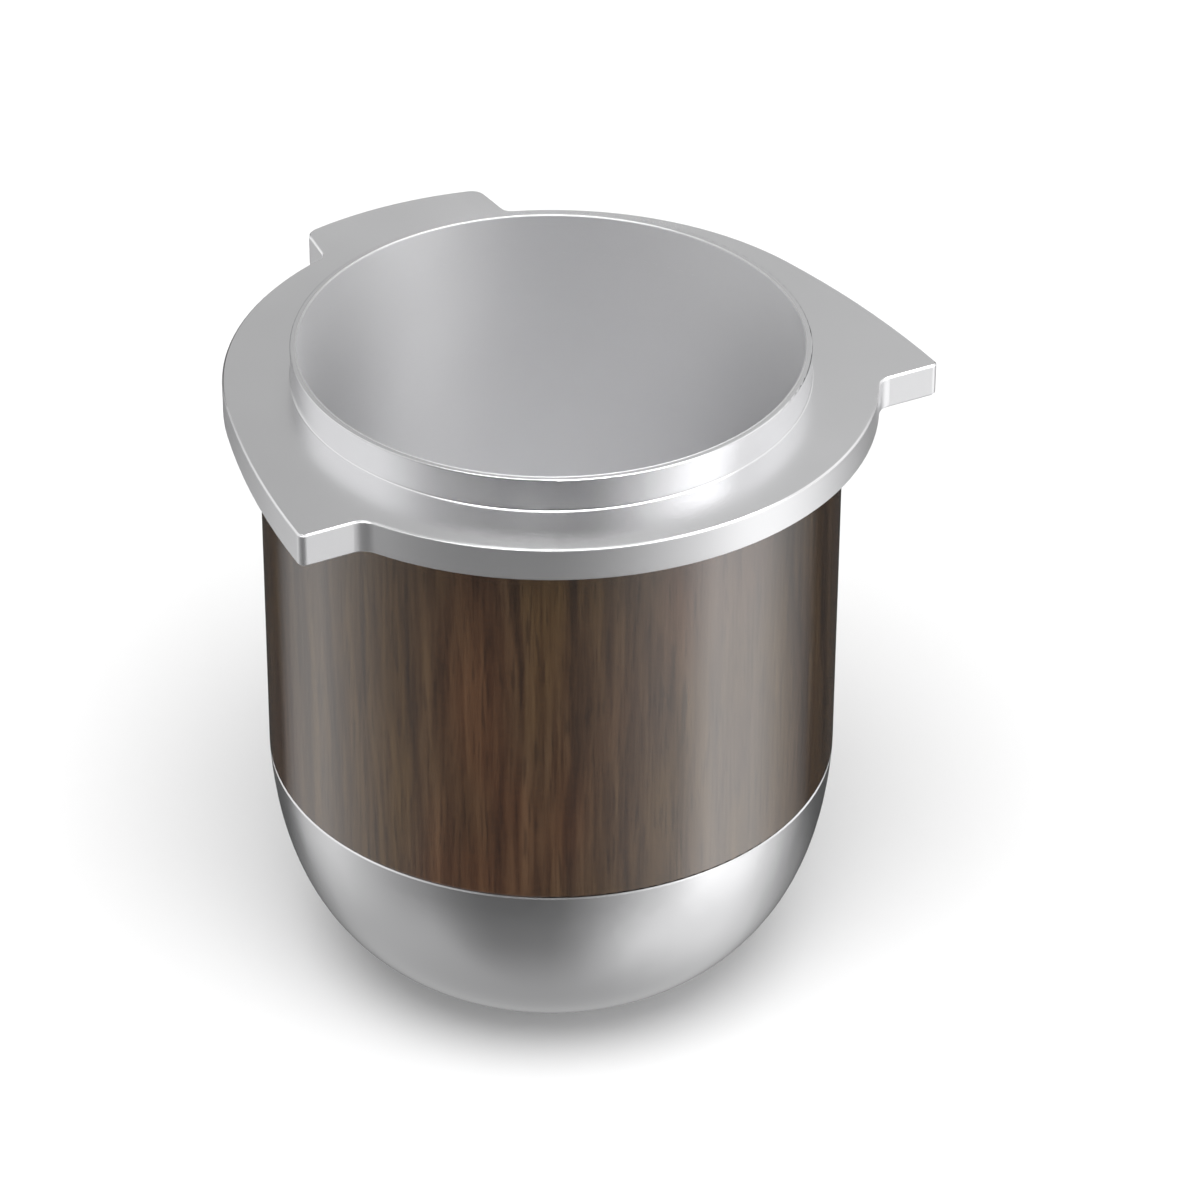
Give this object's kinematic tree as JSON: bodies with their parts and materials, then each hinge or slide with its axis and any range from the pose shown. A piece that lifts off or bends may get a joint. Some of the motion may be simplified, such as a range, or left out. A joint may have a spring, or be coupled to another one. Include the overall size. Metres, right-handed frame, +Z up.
{
  "type": "portafilter dosing cup",
  "caption": "Espresso dosing cup: walnut sleeve round a metal cup, rounded metal base, and a lugged flange with a collar that enters a portafilter basket.",
  "frame": {"origin": "centre of the foot pad's underside, on the surface the cup stands on", "axes": "+Z up the cup's axis and out of its mouth; +X and +Y level, with the tab lug near +Y and one hook lug near +X"},
  "size_m": [0.0796, 0.0777, 0.081],
  "materials": {
    "collar_metal": "satin, fine turned",
    "cup_metal": "satin, bead blasted",
    "walnut": "lacquered, straight vertical grain",
    "base_metal": "satin polished",
    "silicone": "matt",
    "screw_steel": "bright"
  },
  "bodies": {
    "root": {"lug_collar": "collar_metal", "inner_cup": "cup_metal", "walnut_sleeve": "walnut", "base_shell": "base_metal", "upper_gasket": "silicone", "lower_gasket": "silicone", "base_screw": "screw_steel", "lock_washer": "screw_steel", "foot_pad": "silicone"}
  },
  "joints": []
}
